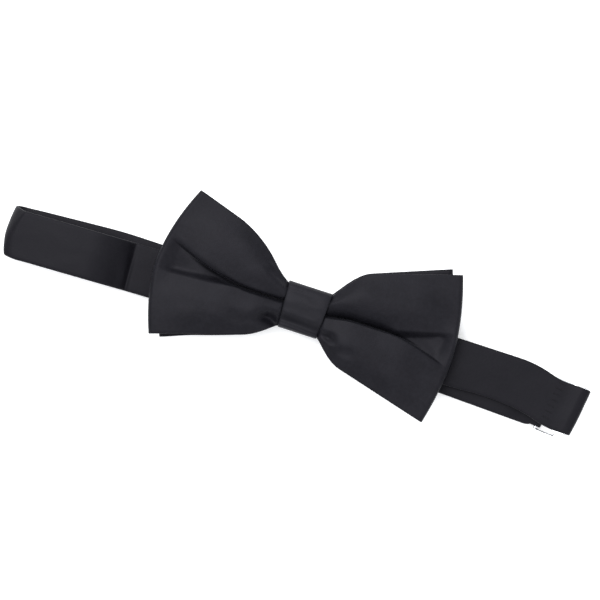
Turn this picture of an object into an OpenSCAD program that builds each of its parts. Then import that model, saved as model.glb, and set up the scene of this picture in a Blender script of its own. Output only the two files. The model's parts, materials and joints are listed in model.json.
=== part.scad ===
// Pre-tied bow tie on an adjustable neck strap, lying flat with its loop closed.
// X runs along the strap, Y up the bow's height, Z away from the table.
// The origin is on the table, behind the middle of the knot.

/* [Bow] */
// Half the length of the front bow
bow_half = 60; // [56:1:64]
// Height of the wing ends above the strap's line
wing_top = 31.5; // [28:0.5:34]
// Depth of the wing ends below the strap's line
wing_bottom = 27; // [24:0.5:32]
// How far the wing ends curve back at their corners
end_sag = 8; // [4:0.5:10]
// Half the height of the gathered waist
waist_half = 7.6; // [7:0.1:7.8]
// Half the length of the shorter back bow
back_bow_half = 55; // [50:1:57]
// Thickness of the satin
satin_t = 0.6; // [0.4:0.1:0.8]
// Thickness of the interlining behind the satin
interlining_t = 0.5; // [0.3:0.1:0.6]
// Depth of the valley between the folds of a wing
pleat_depth = 2.4; // [0:0.2:3]

/* [Knot] */
// Width of the knot at its top edge
knot_top_w = 16.3; // [14:0.1:17]
// Width of the knot at its bottom edge
knot_bottom_w = 14.3; // [13:0.1:16]
// Height of the knot
knot_h = 18.4; // [18:0.1:19]
// Thickness of the wrap round the knot
wrap_t = 0.8; // [0.6:0.1:1]
// Height of the knot's front face above the table
knot_front = 18; // [17.6:0.1:19]

/* [Strap] */
// Width of the neck strap
strap_w = 19; // [18:0.1:19.2]
// Thickness of the neck strap
strap_t = 1.1; // [0.9:0.1:1.2]
// Width of the strap where the knot gathers it
gathered_w = 15.6; // [15:0.1:16]
// Outer radius of the rolled bend at the strap's left end
bend_r = 5; // [4.5:0.1:5.5]

/* [Hardware] */
// Diameter of the wire of the hook's and the eye's bars
wire_d = 1.2; // [1:0.1:1.3]
// Thickness of the hook's plate
plate_t = 1; // [0.8:0.1:1.1]
// Width of the hook's tongue
tongue_w = 7; // [5:0.5:8]
// Outer width of the hook, the eye and the slide adjuster
frame_w = 22.6; // [22.6:0.1:25]
// Place of the slide adjuster's middle bar along the strap
slider_x = 42; // [40:1:50]

/* [Hidden] */
$fn = 48;

satin = [0.17, 0.17, 0.21];
lining = [0.32, 0.32, 0.36];
thread = [0.08, 0.08, 0.1];
nickel = [0.78, 0.79, 0.8];

gap = 0.05;              // between two layers that lie on each other
far = 100;               // longer than any cut needs

// Heights of the straps' undersides
strap_low = 2.6;         // the front strap, inside the knot
bend_z = bend_r;         // the middle of the left bend
bulge_low = 2 * bend_r - strap_t;

// Where the front strap changes height
crease_x = -68;
bulge_x = -84;
bend_x = -114;
knot_run = 15;           // the strap is straight and flat this far each side of the knot
rise_end = 29;

// Fold of a strap round a wire bar
fold_in = 0.95;
fold_out = fold_in + strap_t;

// The eye lies on the table in the fold of the back strap
eye_x = 99.75;
eye_y = -5.6;
eye_turn = -5;
eye_z = fold_out;
eye_len = 8.4;
eye_tilt = asin((eye_z - wire_d / 2 - gap) / eye_len);

// The hook hangs from the front strap's end, with its curl on the table
hook_x = 111.7;
hook_y = -4.7;
hook_turn = -8;
hook_tilt = 16;
hook_z = 5.4;
front_high = hook_z + fold_in;
tongue_end = 8.2;
curl_in = 0.85;
curl_out = curl_in + plate_t;
cross_u = 3.6;
cross_w = 1.2;
tip_u = 5.8;

// The slide adjuster holds the end of the return strap on its middle bar
bar_d = 1;
loop_in = 0.6;
loop_out = loop_in + strap_t;
slider_z = loop_out + gap;
run_high = 3.6;          // the back strap's underside, right of the knot
slider_turn = -2;
slider_half = 6.5;
outer_bar_z = run_high + strap_t + 0.2;
outer_bar_t = 0.9;
ramp_start = 16;
ramp_end = 32;
eye_ramp = 86;

function smooth(t) = let (u = max(0, min(1, t))) u * u * (3 - 2 * u);
function steps(a, b, n) = [for (i = [0:n]) a + (b - a) * i / n];
function mirrored(list) = [for (i = [len(list) - 1:-1:0]) list[i]];

// Plan of the front strap: its middle line and its width
function front_y(x) =
    x < 0 ? -4.6 * smooth((-x - knot_run) / 45) + 0.03 * min(0, x + 60)
    : -1.3 * smooth((x - knot_run) / 45) - 0.14 * max(0, x - 88);
function front_w(x) = gathered_w + (strap_w - gathered_w) * smooth((abs(x) - knot_run) / 13);
function front_low(x) = strap_low
    + (bulge_low - strap_low) * smooth((crease_x - x) / (crease_x - bulge_x))
    + (front_high - strap_low) * smooth((x - knot_run) / (rise_end - knot_run));

// Plan of the back strap
function back_y(x) =
    x < -82 ? back_y(-82) + 0.115 * (x + 82)
    : x < ramp_start ? -3.3 - 0.012 * (x - ramp_start)
    : -3.3 + tan(slider_turn) * (x - ramp_start);
function back_low(x) = run_high * smooth((x - ramp_start) / (ramp_end - ramp_start))
    - (run_high - 2 * eye_z + strap_t) * smooth((x - eye_ramp) / 8);

// A band seen from the side: under is a list of [x, height of its underside]
module side_view(under, t, inset) {
    lower = [for (p = under) [p[0], p[1] + inset]];
    upper = [for (p = under) [p[0], p[1] + t - inset]];
    rotate([90, 0, 0]) linear_extrude(height = far, center = true)
        polygon(concat(lower, mirrored(upper)));
}

// The same band seen from above: middle is a list of [x, y, width]
module plan_view(middle, inset) {
    low = [for (p = middle) [p[0], p[1] - p[2] / 2 + inset]];
    high = [for (p = middle) [p[0], p[1] + p[2] / 2 - inset]];
    translate([0, 0, -far / 4]) linear_extrude(height = far / 2)
        polygon(concat(low, mirrored(high)));
}

module band(under, middle, t, inset = 0, side_inset = 0) {
    intersection() {
        side_view(under, t, inset);
        plan_view(middle, side_inset);
    }
}

// The straps' two views between two ends, so that the same functions shape a strap and its interlining
function front_side(x0, x1) = [for (x = concat([x0], steps(bulge_x, crease_x, 8), [knot_run],
    steps(knot_run + 2, rise_end, 6), [x1])) [x, front_low(x)]];
function front_plan(x0, x1) = [for (x = concat([x0, -90], steps(-60, -knot_run, 8),
    steps(knot_run, 60, 8), [88, x1])) [x, front_y(x), front_w(x)]];
function back_side(x0, x1) = [for (x = concat([x0], steps(ramp_start, ramp_end, 8),
    steps(eye_ramp, eye_ramp + 6, 4), [x1])) [x, back_low(x)]];
function back_plan(x0, x1) = [for (x = [x0, -82, ramp_start, x1]) [x, back_y(x), strap_w]];
front_end = hook_x - 13;
back_end = eye_x - 4;

// Seams that join the lengths of the strap, behind the bow and at the hook's loop
front_seam = 31;
back_seam = ramp_start;

module front_run(end_inset, inset, side_inset)
    band(front_side(bend_x + end_inset, front_end - end_inset),
        front_plan(bend_x - 1, front_end + 1), strap_t, inset, side_inset);

// The part of a shape between two places along the strap
module between(x0, x1) intersection() {
    children();
    translate([x0, -far / 2, -far / 2]) cube([x1 - x0, far, far]);
}

module back_run(end_inset, inset, side_inset)
    band(back_side(bend_x + end_inset, back_end - end_inset),
        back_plan(bend_x - 1, back_end + 1), strap_t, inset, side_inset);

// One quarter of the rolled bend, the upper or the lower one
module bend_quarter(upper, y) {
    seam = 0.15;
    translate([bend_x, y, bend_z]) rotate([90, 0, 0])
        linear_extrude(height = strap_w, center = true) intersection() {
            difference() {
                circle(r = bend_r);
                circle(r = bend_r - strap_t);
            }
            translate([-2 * bend_r, upper ? seam : -2 * bend_r]) square([2 * bend_r + 0.2, 2 * bend_r - seam]);
        }
}

// A strap folded round a bar at the local origin, with both layers running to -X.
// spread is the height that the lower layer comes back up by, to lie under the upper one.
module bar_fold(inner, upper_len, lower_len, spread) {
    outer = inner + strap_t;
    taper = 3.3;
    rotate([90, 0, 0]) linear_extrude(height = strap_w, center = true) {
        difference() {
            circle(r = outer);
            circle(r = inner);
            translate([-2 * outer, -outer]) square([2 * outer, 2 * outer]);
        }
        translate([-upper_len, inner]) square([upper_len + 0.1, strap_t]);
        polygon([[0.1, -outer], [0.1, -inner], [0, -inner], [-taper, -inner + spread],
            [-lower_len, -inner + spread], [-lower_len, -outer + spread],
            [-taper, -outer + spread], [0, -outer]]);
    }
}

module at_hook() translate([hook_x, hook_y, hook_z]) rotate([0, 0, hook_turn]) children();
module at_eye() translate([eye_x, eye_y, eye_z]) rotate([0, 0, eye_turn]) children();
module at_slider() translate([slider_x, back_y(slider_x), 0]) rotate([0, 0, slider_turn]) children();

// Lengths of the folded layers, and how far each closes up on the other layer
hook_loop_len = 15;
tab_len = 12;
tab_spread = 2 * fold_in - gap;
eye_lower = 4;
loop_len = 6;
loop_spread = 2 * loop_in - gap;

// The interlining lies in a hollow in the strap, inside its satin cover
cover_t = 0.3;
hem = 1.2;
hollow_end = 3.6;

// From the bend's upper quarter, through the knot, to behind the right wing
module front_strap() {
    color(satin) difference() {
        union() {
            between(-2 * far, front_seam) front_run(0, 0, 0);
            bend_quarter(true, front_y(bend_x));
        }
        front_run(hollow_end, cover_t, hem);
    }
}

// From behind the right wing to the hook's loop
module hook_strap() {
    color(satin) difference() {
        between(front_seam, 2 * far) front_run(0, 0, 0);
        at_hook() translate([-hook_loop_len, -far / 2, -far / 2]) cube(far);
        front_run(hollow_end, cover_t, hem);
    }
}

// The folded end that holds the hook's bar
module hook_loop() {
    color(satin) at_hook() bar_fold(fold_in, hook_loop_len, tab_len, tab_spread);
}

module front_strap_interlining() {
    color(lining) front_run(hollow_end + gap, cover_t + gap, hem + gap);
}

// From the bend's lower quarter, along the table, to behind the knot
module back_strap() {
    color(satin) difference() {
        union() {
            between(-2 * far, back_seam) back_run(0, 0, 0);
            bend_quarter(false, front_y(bend_x));
        }
        back_run(hollow_end, cover_t, hem);
    }
}

// From behind the knot, over the slide adjuster, to the fold that holds the eye
module eye_strap() {
    color(satin) difference() {
        union() {
            between(back_seam, 2 * far) back_run(0, 0, 0);
            at_eye() bar_fold(fold_in, 5, eye_lower, 0);
        }
        back_run(hollow_end, cover_t, hem);
    }
}

module back_strap_interlining() {
    color(lining) back_run(hollow_end + gap, cover_t + gap, hem + gap);
}

// The lower layer, from the eye back to the slide adjuster
module return_strap() {
    color(satin) band([for (x = [slider_x + loop_len + 0.6, eye_x - eye_lower - 1]) [x, gap]],
        back_plan(bend_x, eye_x), strap_t);
}

// The sewn end of the return strap, round the adjuster's middle bar
module slider_loop() {
    color(satin) at_slider() translate([0, 0, slider_z]) mirror([1, 0, 0]) mirror([0, 0, 1])
        bar_fold(loop_in, loop_len, loop_len - 1, loop_spread);
}

stitch_d = 0.3;

// A row of short stitches across a strap, at the local origin
module stitch_row(count, pitch, length) {
    for (i = [0:count - 1]) translate([0, (i - (count - 1) / 2) * pitch, 0])
        rotate([0, 90, 0]) cylinder(d = stitch_d, h = length, center = true);
}

module slider_stitches() {
    color(thread) at_slider() for (row = [3.8, 4.6])
        translate([row, 0, slider_z + loop_out - loop_spread + stitch_d / 2]) stitch_row(7, 2.2, 0.7);
}

module hook_stitches() {
    sides = [fold_out + stitch_d / 2, -fold_out + tab_spread - stitch_d / 2];
    color(thread) at_hook() for (row = [-8.6, -10.2], side = sides)
        translate([row, 0, side]) stitch_row(7, 2.4, 1.1);
}

// Along Y, a round bar at the local origin
module wire(length, d) rotate([90, 0, 0]) cylinder(d = d, h = length, center = true);

module hook() {
    arm_w = 1.4;
    arm_y = (frame_w - arm_w) / 2;
    color(nickel) at_hook() rotate([0, -hook_tilt, 0]) {
        wire(frame_w, wire_d);
        for (s = [-1, 1]) translate([-(cross_u + cross_w), s * arm_y - arm_w / 2, -plate_t / 2])
            cube([cross_u + cross_w, arm_w, plate_t]);
        translate([-(cross_u + cross_w), -frame_w / 2, -plate_t / 2]) cube([cross_w, frame_w, plate_t]);
        translate([-tongue_end, -tongue_w / 2, -plate_t / 2]) cube([tongue_end - cross_u - 0.1, tongue_w, plate_t]);
        translate([-tongue_end, 0, -plate_t / 2 - curl_in]) rotate([90, 0, 0])
            linear_extrude(height = tongue_w, center = true) difference() {
                circle(r = curl_out);
                circle(r = curl_in);
                translate([0, -2 * curl_out]) square(4 * curl_out);
            }
        translate([-tongue_end, -tongue_w / 2, -plate_t / 2 - curl_in - curl_out])
            cube([tongue_end - tip_u, tongue_w, plate_t]);
    }
}

module eye() {
    half = frame_w / 2 - wire_d / 2;
    color(nickel) at_eye() rotate([0, eye_tilt, 0]) {
        for (x = [0, eye_len]) translate([x, 0, 0]) wire(2 * half, wire_d);
        for (s = [-1, 1]) translate([0, s * half, 0]) {
            rotate([0, 90, 0]) cylinder(d = wire_d, h = eye_len);
            for (x = [0, eye_len]) translate([x, 0, 0]) sphere(d = wire_d);
        }
    }
}

module slide_adjuster() {
    side_t = 1.2;
    side_y = (frame_w - side_t) / 2;
    color(nickel) at_slider() {
        translate([0, 0, slider_z]) wire(frame_w - side_t, bar_d);
        for (s = [-1, 1]) translate([s * (slider_half - 0.7) - 0.7, -frame_w / 2, outer_bar_z])
            cube([1.4, frame_w, outer_bar_t]);
        for (s = [-1, 1]) translate([0, s * side_y, 0]) rotate([90, 0, 0])
            linear_extrude(height = side_t, center = true) polygon([
                [-slider_half, outer_bar_z], [-1.2, slider_z - 0.7], [1.2, slider_z - 0.7],
                [slider_half, outer_bar_z], [slider_half, outer_bar_z + outer_bar_t],
                [-slider_half, outer_bar_z + outer_bar_t]]);
    }
}

// Half the height of a wing at x, up for side 1 and down for side -1
function wing_height(x, side, half) =
    let (t = max(0, (abs(x) - 8.5) / (half - 16.5)),
        tall = (side > 0 ? wing_top : wing_bottom) * (half > 57 ? 1 : 0.97),
        f = t < 1 ? 0.75 * sin(90 * t) + 0.25 * t : 1)
    waist_half + (tall - waist_half) * f;

// Thickness and middle height of a bow at x: waist and wing are [half thickness, height]
function spread_at(x) = smooth((abs(x) - 6) / 18);
function half_t(x, waist, wing) = waist[0] + (wing[0] - waist[0]) * spread_at(x);
function mid_z(x, waist, wing) = waist[1] + (wing[1] - waist[1]) * spread_at(x);

// A bow is one flat band of cloth closed into a loop, which the waist pinches.
// The loop is open along its top and bottom edges. layer is [outer, inner] depth.
along = [0, 7, 11, 16, 22, 32, 44];
round_end = [60, 30, 0, -30, -60];

function loop_line(half, waist, wing, inset) = let (
    r = wing[0] - inset,
    centre = half - wing[0],
    upper = [for (x = concat(along, [centre])) [x, mid_z(x, waist, wing) + half_t(x, waist, wing) - inset, 1]],
    tip = [for (a = round_end) [centre + r * cos(a), wing[1] + r * sin(a), sin(a)]],
    lower = [for (p = mirrored(upper)) [p[0], 2 * mid_z(p[0], waist, wing) - p[1], -1]],
    right = concat(upper, tip, lower))
    concat(right, [for (i = [len(right) - 2:-1:1]) [-right[i][0], right[i][1], right[i][2]]]);

function valley(x, v, depth) =
    depth * smooth((abs(x) - 8) / 12) * smooth(1 - abs(v - 0.06 * sign(-x)) / 0.35);

function loop_points(half, waist, wing, inset, rows, depth) = let (line = loop_line(half, waist, wing, inset))
    [for (v = rows, p = line) let (
        side = v < 0 ? -1 : 1,
        // the end curves back towards its corners
        x = p[0] * (1 - end_sag / half * pow(abs(v), 2) * smooth((abs(p[0]) - 30) / (half - 30))),
        y = v * wing_height(x, side, half),
        z = p[1] - (p[2] > 0 ? p[2] * valley(x, v, depth) : 0))
        [x, y, z]];

module cloth_loop(half, waist, wing, outer, inner, rows, depth) {
    n = len(loop_line(half, waist, wing, 0));
    m = len(rows);
    points = concat(loop_points(half, waist, wing, outer, rows, depth),
        loop_points(half, waist, wing, inner, rows, depth));
    function at(layer, row, i) = layer * n * m + row * n + i % n;
    polyhedron(points = points, faces = concat(
        [for (r = [0:m - 2], i = [0:n - 1]) each
            [[at(0, r, i), at(0, r, i + 1), at(0, r + 1, i + 1)], [at(0, r, i), at(0, r + 1, i + 1), at(0, r + 1, i)]]],
        [for (r = [0:m - 2], i = [0:n - 1]) each
            [[at(1, r, i), at(1, r + 1, i + 1), at(1, r, i + 1)], [at(1, r, i), at(1, r + 1, i), at(1, r + 1, i + 1)]]],
        [for (i = [0:n - 1]) each
            [[at(0, 0, i), at(1, 0, i + 1), at(0, 0, i + 1)], [at(0, 0, i), at(1, 0, i), at(1, 0, i + 1)]]],
        [for (i = [0:n - 1]) each
            [[at(0, m - 1, i), at(0, m - 1, i + 1), at(1, m - 1, i + 1)],
             [at(0, m - 1, i), at(1, m - 1, i + 1), at(1, m - 1, i)]]]),
        convexity = 8);
}

pleat_rows = [-1, -0.45, -0.14, 0, 0.14, 0.45, 1];
plain_rows = [-1, 0, 1];
front_waist = [2.1, 9.9];
front_wing = [3.5, 14.9];
back_waist = [1.7, 5.7];
back_wing = [1.6, 9.5];
back_turn = 1.5;

module front_bow() {
    color(satin) cloth_loop(bow_half, front_waist, front_wing, 0, satin_t, pleat_rows, pleat_depth);
}

module front_bow_interlining() {
    color(lining) cloth_loop(bow_half, front_waist, front_wing,
        satin_t + gap, satin_t + gap + interlining_t, pleat_rows, pleat_depth);
}

module back_bow() {
    color(satin) rotate([0, 0, back_turn])
        cloth_loop(back_bow_half, back_waist, back_wing, 0, satin_t, plain_rows, 0);
}

module back_bow_interlining() {
    color(lining) rotate([0, 0, back_turn]) cloth_loop(back_bow_half, back_waist, back_wing,
        satin_t + gap, satin_t + gap + interlining_t, plain_rows, 0);
}

// A rectangle in Y and Z with round corners, as points
function round_box(y0, y1, z0, z1, r_back, r_front) = [for (c = [
    [y1 - r_back, z0 + r_back, r_back, 270], [y1 - r_front, z1 - r_front, r_front, 0],
    [y0 + r_front, z1 - r_front, r_front, 90], [y0 + r_back, z0 + r_back, r_back, 180]],
    a = [0:15:90]) [c[0] + c[2] * cos(c[3] + a), c[1] + c[2] * sin(c[3] + a)]];

// Extrudes an outline in Y and Z along X, evenly to both sides
module along_x(length) rotate([90, 0, 90]) linear_extrude(height = length, center = true) children();

knot_back = 1.5;
module knot_plan(shrink) linear_extrude(height = far, center = true) polygon([
    [-knot_bottom_w / 2 + shrink, -knot_h / 2], [knot_bottom_w / 2 - shrink, -knot_h / 2],
    [knot_top_w / 2 - shrink, knot_h / 2], [-knot_top_w / 2 + shrink, knot_h / 2]]);

module knot_wrap() {
    half = knot_h / 2;
    color(satin) intersection() {
        along_x(far) difference() {
            polygon(round_box(-half, half, knot_back, knot_front, 1.2, 5.5));
            polygon(round_box(-half + wrap_t, half - wrap_t, knot_back + wrap_t, knot_front - wrap_t, 0.5, 4.7));
        }
        knot_plan(0);
    }
}

module knot_padding() {
    top = knot_front - wrap_t - 0.1;
    color(lining) intersection() {
        along_x(far) polygon(round_box(-waist_half, waist_half, front_waist[1] + front_waist[0] + 0.3, top, 0.6, 4.1));
        knot_plan(0.8);
    }
}

// Thread wound round the waist of both bows
module waist_thread() {
    turns = 5;
    low = back_waist[1] - back_waist[0] - 0.2;
    high = front_waist[1] + front_waist[0] + 0.2;
    color(thread) for (i = [0:turns - 1]) translate([(i - (turns - 1) / 2) * 1.6, 0, 0]) along_x(0.4) difference() {
        polygon(round_box(-waist_half - 0.4, waist_half + 0.4, low, high, 0.3, 0.3));
        polygon(round_box(-waist_half - 0.15, waist_half + 0.15, low + 0.15, high - 0.15, 0.1, 0.1));
    }
}

// The seam that closes the wrap behind the knot
module knot_stitches() {
    color(thread) for (i = [-3:3]) translate([0.5 * sign(i % 2), i * 2.2, knot_back - 0.12])
        rotate([0, 90, 25]) cylinder(d = 0.22, h = 2.2, center = true);
}

front_bow();
front_bow_interlining();
back_bow();
back_bow_interlining();
waist_thread();
knot_wrap();
knot_padding();
knot_stitches();
front_strap();
hook_strap();
hook_loop();
front_strap_interlining();
back_strap();
eye_strap();
back_strap_interlining();
return_strap();
slider_loop();
slider_stitches();
slide_adjuster();
hook();
hook_stitches();
eye();
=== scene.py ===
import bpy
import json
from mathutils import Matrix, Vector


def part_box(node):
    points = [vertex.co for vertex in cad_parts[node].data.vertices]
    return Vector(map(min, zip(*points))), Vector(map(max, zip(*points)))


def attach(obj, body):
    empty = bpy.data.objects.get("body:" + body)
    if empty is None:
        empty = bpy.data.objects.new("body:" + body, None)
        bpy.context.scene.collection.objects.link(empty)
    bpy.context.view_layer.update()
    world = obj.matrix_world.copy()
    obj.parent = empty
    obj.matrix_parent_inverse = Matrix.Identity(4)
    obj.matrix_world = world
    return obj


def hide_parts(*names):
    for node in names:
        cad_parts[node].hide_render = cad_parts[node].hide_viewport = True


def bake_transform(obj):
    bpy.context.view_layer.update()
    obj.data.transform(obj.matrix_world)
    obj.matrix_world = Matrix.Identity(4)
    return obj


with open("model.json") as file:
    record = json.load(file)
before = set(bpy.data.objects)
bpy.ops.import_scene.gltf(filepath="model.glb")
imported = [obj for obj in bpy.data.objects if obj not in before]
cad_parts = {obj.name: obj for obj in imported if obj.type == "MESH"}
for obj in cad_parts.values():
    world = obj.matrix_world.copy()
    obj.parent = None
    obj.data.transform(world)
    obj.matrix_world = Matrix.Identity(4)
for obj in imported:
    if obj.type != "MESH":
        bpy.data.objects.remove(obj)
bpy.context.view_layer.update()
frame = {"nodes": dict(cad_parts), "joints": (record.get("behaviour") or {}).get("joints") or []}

import json
import math

import bpy
import numpy as np
from mathutils import Vector, noise

# Shapes in this script are in millimetres, and mesh_object() turns them into metres.
MM = 0.001


def box_mm(node):
    """Lowest and highest corner of a CAD node, in millimetres."""
    low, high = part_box(node)
    return np.array(low) / MM, np.array(high) / MM


# ---------------------------------------------------------------- driving sizes, from the frame

FRONT_LOW, FRONT_HIGH = box_mm("front_bow")
BACK_HIGH = box_mm("back_bow")[1]
KNOT_LOW, KNOT_HIGH = box_mm("knot_wrap")
PAD_LOW, PAD_HIGH = box_mm("knot_padding")
RETURN_LOW, RETURN_HIGH = box_mm("return_strap")
LOOP_LOW, LOOP_HIGH = box_mm("slider_loop")
JOINTS = {j["name"]: j for j in frame["joints"]}

SATIN_T = 0.45            # the bows' satin
LINING_T = 0.25           # and their interlining
RETURN_SLANT = 1.6        # the return strap lies at an angle, so its box is this much taller
STRAP_W = RETURN_HIGH[1] - RETURN_LOW[1] - RETURN_SLANT
STRAP_T = RETURN_HIGH[2] - RETURN_LOW[2]
COVER_T = 0.3             # the straps' satin


# ---------------------------------------------------------------- small maths

def smooth(t):
    """0 below 0, 1 above 1, and smooth in between."""
    t = np.clip(t, 0.0, 1.0)
    return t * t * (3 - 2 * t)


def past(s, span):
    """0 up to the start of a span of (start, length), 1 after it, and smooth in between."""
    start, length = span
    return smooth((s - start) / length)


def mix(a, b, t):
    """a at 0 and b at 1."""
    return a + (b - a) * t


def bump(t):
    """1 at 0, falling to nothing by about 2."""
    return np.exp(-t * t)


def soft_max0(t, width):
    """max(0, t) with its corner rounded over width."""
    return width * np.logaddexp(0.0, t / width)


def wrinkles(points, size, seed):
    """Smooth seeded noise from -1 to 1 at each point, with folds about size long."""
    shift = Vector((seed * 17.3, seed * 5.1, seed * 9.7))
    flat = points.reshape(-1, 3)
    values = [noise.noise(Vector(p) / size + shift) for p in flat]
    return np.array(values).reshape(points.shape[:-1])


def unit(v):
    """Vectors along the last axis, made one long."""
    return v / np.maximum(np.linalg.norm(v, axis=-1, keepdims=True), 1e-9)


# ---------------------------------------------------------------- meshes

def grid_object(name, rings, loop=False):
    """A mesh from rings of points: the row of rings closes into a loop, or both its ends are capped."""
    nu, nv = rings.shape[:2]
    faces = []
    for i in range(nu if loop else nu - 1):
        for j in range(nv):
            a, b = i * nv + j, i * nv + (j + 1) % nv
            c, d = ((i + 1) % nu) * nv + (j + 1) % nv, ((i + 1) % nu) * nv + j
            faces.append((a, d, c, b))
    if not loop:
        faces.append(tuple(range(nv)))
        faces.append(tuple(reversed(range((nu - 1) * nv, nu * nv))))
    return mesh_object(name, rings.reshape(-1, 3), faces)


def mesh_object(name, points, faces):
    """A smooth-shaded mesh from points in millimetres."""
    mesh = bpy.data.meshes.new(name)
    mesh.from_pydata((np.asarray(points) * MM).tolist(), [], faces)
    mesh.validate()
    mesh.update()
    obj = bpy.data.objects.new(name, mesh)
    bpy.context.scene.collection.objects.link(obj)
    for polygon in mesh.polygons:
        polygon.use_smooth = True
    return obj


def loop_normals(surface):
    """Outward unit normals of a grid: columns round a loop, rows from edge to edge."""
    along = np.roll(surface, -1, 0) - np.roll(surface, 1, 0)
    across = np.gradient(surface, axis=1)
    return -unit(np.cross(across, along))


def shell(name, surface, depth, thickness):
    """Cloth of a thickness round a loop, its outer side depth under the grid, with rounded edges."""
    normal = loop_normals(surface)
    outer = surface - normal * depth
    inner = surface - normal * (depth + thickness)
    middle = (outer + inner) / 2
    half = thickness / 2

    def rim(row, beside):
        """Rows that round one edge of the cloth."""
        outward = unit(middle[:, row] - middle[:, beside])
        turns = [math.radians(a) for a in (-50, 0, 50)]
        return [middle[:, row] + half * (outward * math.cos(a) - normal[:, row] * math.sin(a)) for a in turns]

    top = rim(-1, -2)
    bottom = rim(0, 1)[::-1]
    rings = np.concatenate([outer, np.stack(top, 1), inner[:, ::-1], np.stack(bottom, 1)], axis=1)
    return grid_object(name, rings, loop=True)


# ---------------------------------------------------------------- materials

def nodes_of(material):
    """The material's node tree and its main shader."""
    material.use_nodes = True
    tree = material.node_tree
    return tree, tree.nodes["Principled BSDF"]


def link_noise(tree, coordinates, scale, detail):
    """Noise at the coordinates, from 0 to 1."""
    texture = tree.nodes.new("ShaderNodeTexNoise")
    texture.inputs["Scale"].default_value = scale
    texture.inputs["Detail"].default_value = detail
    tree.links.new(coordinates, texture.inputs["Vector"])
    return texture.outputs["Fac"]


def link_wave(tree, coordinates, scale, axis, turn):
    """Slightly uneven bands across an axis, turned about Z."""
    mapping = tree.nodes.new("ShaderNodeMapping")
    mapping.inputs["Rotation"].default_value = (0, 0, turn)
    tree.links.new(coordinates, mapping.inputs["Vector"])
    wave = tree.nodes.new("ShaderNodeTexWave")
    wave.wave_type = "BANDS"
    wave.bands_direction = axis
    wave.inputs["Scale"].default_value = scale
    wave.inputs["Distortion"].default_value = 1.5
    wave.inputs["Detail"].default_value = 2.0
    tree.links.new(mapping.outputs["Vector"], wave.inputs["Vector"])
    return wave.outputs["Fac"]


def math_node(tree, operation, a, b):
    """The result of a sum or product of two values or sockets."""
    node = tree.nodes.new("ShaderNodeMath")
    node.operation = operation
    for socket, value in zip(node.inputs, (a, b)):
        if isinstance(value, (int, float)):
            socket.default_value = value
        else:
            tree.links.new(value, socket)
    return node.outputs[0]


def shares(tree, a, b, share):
    """share of a and the rest of b."""
    first, second = math_node(tree, "MULTIPLY", a, share), math_node(tree, "MULTIPLY", b, 1 - share)
    return math_node(tree, "ADD", first, second)


def ramp(tree, factor, dark, light):
    """A colour between dark and light."""
    node = tree.nodes.new("ShaderNodeValToRGB")
    node.color_ramp.elements[0].position = 0.3
    node.color_ramp.elements[0].color = (*dark, 1)
    node.color_ramp.elements[1].position = 0.7
    node.color_ramp.elements[1].color = (*light, 1)
    tree.links.new(factor, node.inputs["Fac"])
    return node.outputs["Color"]


def bump_node(tree, height, strength, distance, before=None):
    """A normal bumped by a height, on top of the bump before it."""
    node = tree.nodes.new("ShaderNodeBump")
    node.inputs["Strength"].default_value = strength
    node.inputs["Distance"].default_value = distance
    tree.links.new(height, node.inputs["Height"])
    if before is not None:
        tree.links.new(before, node.inputs["Normal"])
    return node.outputs["Normal"]


def satin_material(name, dark, light, roughness, sheen, turn=0.0):
    """Black satin: fine floats along one thread direction, broad tone changes and a soft sheen."""
    material = bpy.data.materials.new(name)
    tree, shader = nodes_of(material)
    place = tree.nodes.new("ShaderNodeTexCoord").outputs["Object"]
    broad = link_noise(tree, place, 90.0, 4.0)
    grain = link_noise(tree, place, 650.0, 5.0)
    tone = shares(tree, broad, grain, 0.55)
    warp = link_wave(tree, place, 1200.0, "Y", turn)
    weft = link_wave(tree, place, 1500.0, "X", turn)
    weave = shares(tree, warp, weft, 0.7)
    tree.links.new(ramp(tree, shares(tree, tone, weave, 0.8), dark, light), shader.inputs["Base Color"])
    rough = math_node(tree, "ADD", math_node(tree, "MULTIPLY", tone, 0.12), roughness - 0.06)
    tree.links.new(rough, shader.inputs["Roughness"])
    shader.inputs["Specular IOR Level"].default_value = 0.115
    shader.inputs["Specular Tint"].default_value = (0.93, 0.91, 1.0, 1)
    shader.inputs["Sheen Weight"].default_value = sheen
    shader.inputs["Sheen Roughness"].default_value = 0.4
    shader.inputs["Sheen Tint"].default_value = (0.8, 0.8, 1.0, 1)
    slubs = link_noise(tree, place, 1500.0, 2.0)
    soft = bump_node(tree, slubs, 0.35, 0.00012)
    tree.links.new(bump_node(tree, weave, 0.2, 0.00006, soft), shader.inputs["Normal"])
    return material


def lining_material():
    """Grey non-woven interlining: matted fibres."""
    material = bpy.data.materials.new("interlining")
    tree, shader = nodes_of(material)
    place = tree.nodes.new("ShaderNodeTexCoord").outputs["Object"]
    fibres = link_noise(tree, place, 1500.0, 6.0)
    colour = ramp(tree, fibres, (0.09, 0.09, 0.1), (0.2, 0.2, 0.21))
    tree.links.new(colour, shader.inputs["Base Color"])
    shader.inputs["Roughness"].default_value = 0.95
    tree.links.new(bump_node(tree, fibres, 0.5, 0.0002), shader.inputs["Normal"])
    return material


def thread_material():
    """Black sewing thread with its ply twisted round it."""
    material = bpy.data.materials.new("thread")
    tree, shader = nodes_of(material)
    place = tree.nodes.new("ShaderNodeTexCoord").outputs["Object"]
    ply = link_wave(tree, place, 1400.0, "DIAGONAL", 0.0)
    colour = ramp(tree, ply, (0.003, 0.003, 0.004), (0.008, 0.008, 0.01))
    tree.links.new(colour, shader.inputs["Base Color"])
    shader.inputs["Roughness"].default_value = 0.6
    shader.inputs["Specular IOR Level"].default_value = 0.12
    tree.links.new(bump_node(tree, ply, 0.4, 0.0001), shader.inputs["Normal"])
    return material


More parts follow.
